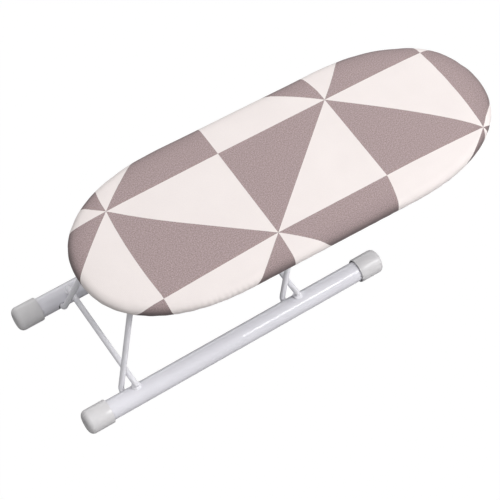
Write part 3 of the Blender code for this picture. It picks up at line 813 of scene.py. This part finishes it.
def build_panel(mats):
    """The painted steel panel: turned-down rim, vent holes and rivet holes."""
    oval = Oval(240, 0.0)
    top, bottom = HINGE_HEIGHT + PANEL_TOP, HINGE_HEIGHT + PANEL_BOTTOM
    rim_low = top - PANEL_RIM_DEPTH
    inside = PANEL_INSET + PANEL_SHEET
    outer = [(PANEL_INSET + 30 * MM, top)]
    outer += [(PANEL_INSET + PANEL_BEND + PANEL_BEND * x, top - PANEL_BEND + PANEL_BEND * z)
              for x, z in arc((0, 0), 1.0, 90, 180, 5)]
    inner_bend = PANEL_BEND - 0.6 * PANEL_SHEET
    inner = [(inside + inner_bend + inner_bend * x, bottom - inner_bend + inner_bend * z)
             for x, z in arc((0, 0), 1.0, 180, 90, 4)]
    lip = [(PANEL_INSET, rim_low + 0.2 * MM), (PANEL_INSET + 0.25 * MM, rim_low),
           (inside - 0.25 * MM, rim_low), (inside, rim_low + 0.2 * MM)]
    profile = outer + lip + inner + [(PANEL_INSET + 30 * MM, bottom)]
    sheet = loft("steel_panel", [oval.ring_at(inset, height) for inset, height in profile])
    vents = []
    keep_clear = PLATE_HALF_LENGTH + VENT_RADIUS + 3 * MM
    for row, y in enumerate(VENT_ROWS_Y):
        reach = 5 if abs(y) < 30 * MM else 4
        for k in range(-reach, reach + 1):
            x = BOARD_X + (k + 0.25 * (-1) ** row) * VENT_PITCH_X
            near_plate = abs(y) < PLATE_HALF_WIDTH + VENT_RADIUS
            if not (near_plate and min(abs(x - hinge) for hinge in HINGES.values()) < keep_clear):
                vents.append((x, y))
    rivets = []
    for hinge in HINGES.values():
        rivets += [(hinge + x, y) for y in (-SADDLE_Y, SADDLE_Y) for x in (-RIVET_X, RIVET_X)]
    cuts = [drill("vents", vents, VENT_RADIUS, bottom - MM, top + MM, 40),
            drill("panel_holes", rivets, RIVET_HOLE_RADIUS, bottom - MM, top + MM, 24)]
    mesh = shaped(sheet, cuts=cuts, bevel=0.15 * MM)
    place_piece("steel_panel", mesh, mats["panel"], "board", "panel_paint", "board_panel")


# --- Pad and cover -----------------------------------------------------------------------

def shoulder(inset):
    """How far the padded top has eased down at this inset from its edge."""
    share = inset / SHOULDER_WIDTH
    return SHOULDER_DROP * max(0.0, 1 - share) ** 2 - TOP_RISE * min(1.0, share)


def skin_profile(below, lowest, step=14):
    """(inset, height) points from the top's shoulder round the edge to an angle below it."""
    radius = EDGE_RADIUS - below
    points = []
    for inset in (34.0, 28.0, 22.5, 17.5, 13.5, 10.5):
        points.append((inset * MM, EDGE_MIDDLE + radius - shoulder(inset * MM)))
    steps = round((90 - lowest) / step)
    for k in range(steps + 1):
        turn = math.radians(90 + (lowest - 90) * k / steps)
        inset = EDGE_RADIUS - radius * math.cos(turn)
        ease = shoulder(inset) * max(0.0, math.sin(turn)) ** 2
        points.append((inset, EDGE_MIDDLE + radius * math.sin(turn) - ease))
    return points


def domed(oval, rings, top_steps, heights):
    """Vertices and faces of a skin: rings from the outside in, then rows closing on the middle line."""
    count = len(oval.points)
    last = oval.points - oval.normals * rings[-1][0]
    verts = []
    for inset, height in rings:
        verts += oval.ring_at(inset, height)
    for row in range(1, top_steps):
        t = row / top_steps
        inner = last * [1 - 0.25 * t, 1 - t]
        verts += [(x, y, heights(t)) for x, y in oval.world(inner)]
    rows = len(rings) + top_steps - 1
    faces = []
    for row in range(rows - 1):
        faces += band(row * count, (row + 1) * count, count)
    start = len(verts)
    half = count // 2
    spine = oval.world(last[:half + 1] * [0.75, 0.0])
    verts += [(x, y, heights(1.0)) for x, y in spine]
    a = (rows - 1) * count
    for k in range(count):
        n = (k + 1) % count
        mine = start + (k if k <= half else count - k)
        following = start + (n if n <= half else count - n)
        faces.append((a + k, a + n, following, mine))
    return verts, faces


def build_pad(mats):
    """The foam pad on the panel, wrapped a little way down round the panel's rim."""
    below = COVER_CLOTH + GAP
    skirt = -math.degrees(math.asin(PAD_SKIRT_DROP / (EDGE_RADIUS - below)))
    outside = list(reversed(skin_profile(below, skirt)))
    oval = Oval(200, COVER_SKEW)
    inner = PANEL_INSET - 0.4 * MM
    under = [(40 * MM, HINGE_HEIGHT + PAD_BOTTOM), (inner + 1.5 * MM, HINGE_HEIGHT + PAD_BOTTOM),
             (inner, HINGE_HEIGHT + PAD_BOTTOM - 0.3 * MM), (inner, outside[0][1])]
    rings = [oval.ring_at(inset, height) for inset, height in under + outside]
    mesh = loft("foam_filling", rings)
    pad = place_piece("foam_filling", mesh, mats["foam"], "board", "foam", "foam_pad")
    return pad


def gather_waves(count, seed=11):
    """A positive wave for each column: uneven small gathers, as elastic draws them."""
    rng = np.random.default_rng(seed)
    turn = np.linspace(0, 2 * math.pi, count, endpoint=False)
    wave = np.zeros(count)
    for number in (61, 73, 88):
        wave += np.sin(number * turn + rng.uniform(0, 2 * math.pi))
    swell = 0.75 + 0.25 * np.sin(5 * turn + rng.uniform(0, 2 * math.pi))
    return ((wave / 3 + 0.55).clip(0, None)) * swell


def pucker_share(points):
    """How strongly the hem puckers the cloth at each place: most on the near edge, left of the middle."""
    along = np.exp(-((points[:, 0] - BOARD_X + 122 * MM) / (42 * MM)) ** 2)
    edge = ((EDGE_MIDDLE + 7 * MM - points[:, 2]) / (5 * MM)).clip(0, 1)
    return along * edge * (points[:, 1] < 0)


def painted_edge_shade_share(points):
    """How much painted shade darkens the cloth at each place: fully below its edge, and less up to the top.
    """
    above = (points[:, 2] - EDGE_MIDDLE + 0.5 * MM).clip(0, None)
    return (1 - (above / (EDGE_RADIUS + 0.55 * MM)) ** 2).clip(0, 1)


def slip(flat):
    """The flat-cloth point that lies at each unrolled place, once the hem has pulled the cloth askew."""
    x, y = flat[:, 0] - BOARD_X, flat[:, 1]
    far_edge = ((y - 62 * MM) / (40 * MM)).clip(0, 1) ** 1.6
    near_edge = ((-60 * MM - y) / (40 * MM)).clip(0, 1) ** 1.3
    far_pull = 7.5 * MM * np.tanh((-43 * MM - x) / (60 * MM))
    near_pull = -(0.5 * MM + 9.5 * MM * ((x + 65 * MM) / (75 * MM)).clip(0, 1))
    pull_x = far_edge * far_pull + near_edge * near_pull
    bow = np.exp(-((x + 165 * MM) / (60 * MM)) ** 2) * (1 - (y / (57 * MM)) ** 2).clip(0, 1)
    pull_x -= 3 * MM * bow
    left = ((-45 * MM - x) / (130 * MM)).clip(0, 1.3) * ((55 * MM - y) / (110 * MM)).clip(0, 1.2)
    pull_x -= 3 * MM * left
    pull_y = -4.2 * MM * left
    left_end = ((-60 * MM - x) / (110 * MM)).clip(0, 1)
    pull_x -= 1.2 * MM * left_end
    pull_y = pull_y - 0.9 * MM * left_end
    right = ((x - 117 * MM) / (80 * MM)).clip(0, 1.2)
    pull_x -= right ** 2 * (5.5 * MM + 3 * MM * (y / (60 * MM)) ** 2)
    pull_y -= right * 2 * MM * ((60 * MM - y) / (120 * MM)).clip(0, 1)
    return np.stack([flat[:, 0] - pull_x, y - pull_y], axis=1)


def cover_rings():
    """(inset, height, gather) for the cloth from its curled hem round the edge to the top."""
    curl = COVER_CLOTH + GAP + ELASTIC_RADIUS
    rings = [(HEM_INSET - HEM_RETURN, ELASTIC_HEIGHT + curl, 0.0)]
    for k in range(5):
        turn = math.radians(90 - 180 * k / 4)
        spot = (HEM_INSET + curl * math.cos(turn), ELASTIC_HEIGHT + curl * math.sin(turn))
        rings.append((*spot, 0.9 * k / 4))
    for inset in (12.3, 11.0, 9.6):
        rings.append((inset * MM, EDGE_MIDDLE - EDGE_RADIUS, 1.0))
    for inset, height in reversed(skin_profile(0.0, -90)):
        depth = (EDGE_MIDDLE + 1.5 * MM - height) / (EDGE_RADIUS + 1.5 * MM)
        rings.append((inset, height, max(0.0, depth) ** 1.3))
    return rings


def mark_points(mesh, name, values):
    """Stores one number for each point of the mesh."""
    marks = mesh.attributes.new(name, "FLOAT", "POINT")
    marks.data.foreach_set("value", values.astype(np.float32))


def build_cover_mesh(columns):
    """The cloth skin as gathered, with each point's place on the flat cloth."""
    rings = cover_rings()
    oval = Oval(columns, COVER_SKEW)
    top_steps = 11
    top = rings[-1][1]
    verts, faces = domed(oval, [ring[:2] for ring in rings], top_steps, lambda t: top + 0.15 * MM * t)
    verts = np.array(verts)
    flat = verts[:, :2].copy()
    waves = gather_waves(columns)
    turned = oval.world(oval.normals) - [BOARD_X, 0.0]
    ends = 0.45 + 0.55 * np.abs(oval.normals[:, 0]) ** 0.7
    spots = np.array([ring[:2] for ring in rings])
    steps = np.linalg.norm(np.diff(spots, axis=0), axis=1)
    for i, gather in enumerate(ring[2] for ring in rings):
        rows = slice(i * columns, (i + 1) * columns)
        unrolled = steps[i:].sum()
        flat[rows] = oval.ring(rings[-1][0]) + turned * unrolled
        before, after = spots[max(i - 1, 0)], spots[min(i + 1, len(spots) - 1)]
        along = (after - before) / max(np.linalg.norm(after - before), 1e-9)
        lift = waves * ends * gather * GATHER_DEPTH
        verts[rows, :2] += turned * (along[1] * lift)[:, None]
        verts[rows, 2] += along[0] * lift
    mesh = shell("cotton_skin", [tuple(v) for v in verts], faces, 180)
    marks = mesh.attributes.new("flat", "FLOAT_VECTOR", "POINT")
    slipped = np.column_stack([slip(flat), np.zeros(len(flat))])
    marks.data.foreach_set("vector", slipped.astype(np.float32).ravel())
    mark_points(mesh, "top_share", np.arange(len(verts)) >= (len(rings) - 1) * columns)
    mark_points(mesh, "pucker", pucker_share(verts))
    # Painted shade towards and under the cloth's edge.
    mark_points(mesh, "painted_edge_shade", painted_edge_shade_share(verts))
    return mesh, flat


def lay_print_flat(mesh):
    """Puts the print on the flat top exactly where the cloth lies, after its mesh is refined."""
    count = len(mesh.vertices)
    share = np.empty(count, np.float32)
    mesh.attributes["top_share"].data.foreach_get("value", share)
    places = np.empty(count * 3, np.float32)
    mesh.vertices.foreach_get("co", places)
    places = places.reshape(-1, 3)
    flat = np.empty(count * 3, np.float32)
    mesh.attributes["flat"].data.foreach_get("vector", flat)
    flat = flat.reshape(-1, 3)
    on_top = share > 0.999
    flat[on_top, :2] = slip(places[on_top, :2].astype(float))
    mesh.attributes["flat"].data.foreach_set("vector", flat.ravel())


def puff(obj, pinned, reach):
    """Blows the cloth out with a cloth simulation. No point moves further than reach."""
    start = np.array([v.co for v in obj.data.vertices])
    group = obj.vertex_groups.new(name="pin")
    group.add(pinned, 1.0, "REPLACE")
    step = obj.modifiers.new("cloth", "CLOTH")
    cloth = step.settings
    cloth.quality = 6
    cloth.mass = 0.25
    cloth.tension_stiffness = 25
    cloth.compression_stiffness = 12
    cloth.bending_stiffness = 0.4
    cloth.use_pressure = True
    cloth.uniform_pressure_force = 4.0
    cloth.effector_weights.gravity = 0.0
    cloth.vertex_group_mass = "pin"
    step.collision_settings.use_collision = False
    scene = bpy.context.scene
    scene.frame_start, scene.frame_end = 1, PUFF_FRAMES
    for number in range(1, PUFF_FRAMES + 1):
        scene.frame_set(number)
    graph = bpy.context.evaluated_depsgraph_get()
    done = np.array([v.co for v in obj.evaluated_get(graph).data.vertices])
    obj.modifiers.clear()
    scene.frame_set(1)
    move = done - start
    size = np.linalg.norm(move, axis=1)
    move *= (np.minimum(size, reach) / np.maximum(size, 1e-9))[:, None]
    obj.data.vertices.foreach_set("co", (start + move).astype(np.float32).ravel())
    obj.data.update()


def build_cover(mats):
    """The printed cotton cover, gathered under the board on an elastic hem."""
    columns = COVER_COLUMNS
    mesh, flat = build_cover_mesh(columns)
    cover = place_piece("cotton_skin", mesh, mats["cover"], "board", "cover_cotton", "cotton_cover")
    puff(cover, list(range(PINNED_RINGS * columns)), PUFF_REACH)
    seam = [cover.data.vertices[SEAM_RING * columns + k].co.copy() for k in range(columns)]
    smooth = cover.modifiers.new("smooth", "SUBSURF")
    smooth.levels = 1
    smooth.render_levels = 1
    thick = cover.modifiers.new("thick", "SOLIDIFY")
    thick.thickness = COVER_CLOTH
    thick.offset = -1
    apply_modifiers(cover)
    lay_print_flat(cover.data)
    cover.data.materials.clear()
    cover.data.materials.append(mats["cover"])
    oval = Oval(columns, COVER_SKEW)
    loop = [(x, y, ELASTIC_HEIGHT) for x, y in oval.ring(HEM_INSET)]
    elastic = swept("hem_elastic_cord", loop, [ELASTIC_RADIUS] * columns, 10, cyclic=True)
    elastic = place_piece("hem_elastic_cord", elastic, mats["elastic"], "board", "elastic", "hem_elastic")
    stitches = place_piece("hem_stitching", stitching(seam), mats["thread"], "board", "cover_cotton")


def stitching(seam):
    """Short thread stitches along the hem seam, each a small rounded bar."""
    pitch, stitch, radius, sides = 3.1 * MM, 2.3 * MM, 0.22 * MM, 6
    points = np.array(seam + [seam[0]])
    along = np.concatenate([[0], np.cumsum(np.linalg.norm(np.diff(points, axis=0), axis=1))])
    verts, faces = [], []
    count = int(along[-1] / pitch)
    for number in range(count):
        start = along[-1] * number / count
        spots = []
        for share, fat in ((0.0, 0.35), (0.12, 0.85), (0.5, 1.0), (0.88, 0.85), (1.0, 0.35)):
            at = start + stitch * share
            spot = Vector([np.interp(at, along, points[:, k]) for k in range(3)])
            sunk = radius * (0.9 if share in (0.0, 1.0) else 0.35)
            spots.append((spot + Vector((0, 0, sunk)), radius * fat))
        ahead = (spots[-1][0] - spots[0][0]).normalized()
        up = Vector((0, 0, 1))
        side = ahead.cross(up).normalized()
        base = len(verts)
        for spot, fat in spots:
            for k in range(sides):
                turn = 2 * math.pi * k / sides
                verts.append(tuple(spot + side * fat * math.cos(turn) + up * fat * math.sin(turn)))
        faces += tube_faces(base, len(spots), sides)
    return shell("hem_stitching", verts, faces, 60)


# --- Stage -------------------------------------------------------------------------------

def build_camera():
    """The camera looks down on the board from over its near left end."""
    level = math.cos(CAMERA_ELEVATION)
    back = Vector((math.sin(CAMERA_AZIMUTH) * level, -math.cos(CAMERA_AZIMUTH) * level,
                   math.sin(CAMERA_ELEVATION)))
    data = bpy.data.cameras.new("camera")
    camera = add_object("camera", data)
    camera.location = CAMERA_PLACE
    camera.rotation_mode = "QUATERNION"
    camera.rotation_quaternion = (-back).to_track_quat("-Z", "Y")
    data.sensor_width = CAMERA_SENSOR
    data.lens = CAMERA_LENS
    bpy.context.scene.camera = camera


def area_light(name, place, target, size, power):
    data = bpy.data.lights.new(name, "AREA")
    data.shape = "RECTANGLE"
    data.size, data.size_y = size
    data.energy = power
    light = add_object(name, data)
    light.location = place
    light.rotation_euler = (Vector(target) - Vector(place)).to_track_quat("-Z", "Y").to_euler()


def room_piece(name, verts, faces, mat):
    """An object of the room, with one material."""
    mesh = bpy.data.meshes.new(name)
    mesh.from_pydata(verts, [], faces)
    mesh.materials.append(mat)
    return add_object(name, mesh)


def build_ground(name, drop, mat):
    """A level square under the object, this far below its feet."""
    reach = ROOM_REACH
    corners = [(-reach, -reach), (reach, -reach), (reach, reach), (-reach, reach)]
    ground = room_piece(name, [(x, y, -drop) for x, y in corners], [(0, 1, 2, 3)], mat)
    return ground


def build_backdrop(mat):
    """A tall round wall that carries the white sheet up behind the board on every side."""
    sides = 48
    rings = [circle(ROOM_REACH, height, sides) for height in (-SHEET_DROP, WALL_HEIGHT)]
    wall = room_piece("white_wall", rings[0] + rings[1], band(0, sides, sides), mat)
    return wall


def build_room_light():
    """White light from all round, stronger from the ceiling than from low down."""
    world = bpy.data.worlds.new("room")
    bpy.context.scene.world = world
    world.use_nodes = True
    tree = world.node_tree
    ways = tree.nodes.new("ShaderNodeTexCoord")
    parts = tree.nodes.new("ShaderNodeSeparateXYZ")
    ramp = tree.nodes.new("ShaderNodeMapRange")
    ramp.inputs["To Min"].default_value = LOW_LIGHT
    ramp.inputs["To Max"].default_value = CEILING_LIGHT
    background = tree.nodes["Background"]
    background.inputs["Color"].default_value = (1, 1, 1, 1)
    tree.links.new(ways.outputs["Generated"], parts.inputs[0])
    tree.links.new(parts.outputs["Z"], ramp.inputs["Value"])
    tree.links.new(ramp.outputs[0], background.inputs["Strength"])


def build_stage():
    """A white room with soft lights. The table lights the object, and shows as an even white sheet."""
    matt = Finish("white_table", (0.24, 0.24, 0.24), Roughness=0.9).mat
    table = build_ground("table", TABLE_DROP, matt)
    table.visible_camera = False
    glow = Finish("white_sheet", (0.0, 0.0, 0.0), Emission_Color=(1, 1, 1, 1), Emission_Strength=1.0).mat
    for sheet in (build_ground("white_sheet", SHEET_DROP, glow), build_backdrop(glow)):
        sheet.visible_diffuse = False
        sheet.visible_glossy = False
        sheet.visible_shadow = False
    build_room_light()
    for light in LIGHTS:
        area_light(*light)
    bpy.context.scene.view_settings.view_transform = "Standard"


def main():
    build_camera()
    build_stage()
    mats = make_materials()
    build_tubes(mats)
    build_caps(mats)
    build_cross_wires(mats)
    build_legs(mats)
    build_hinges(mats)
    build_panel(mats)
    pad = build_pad(mats)
    build_cover(mats)


main()
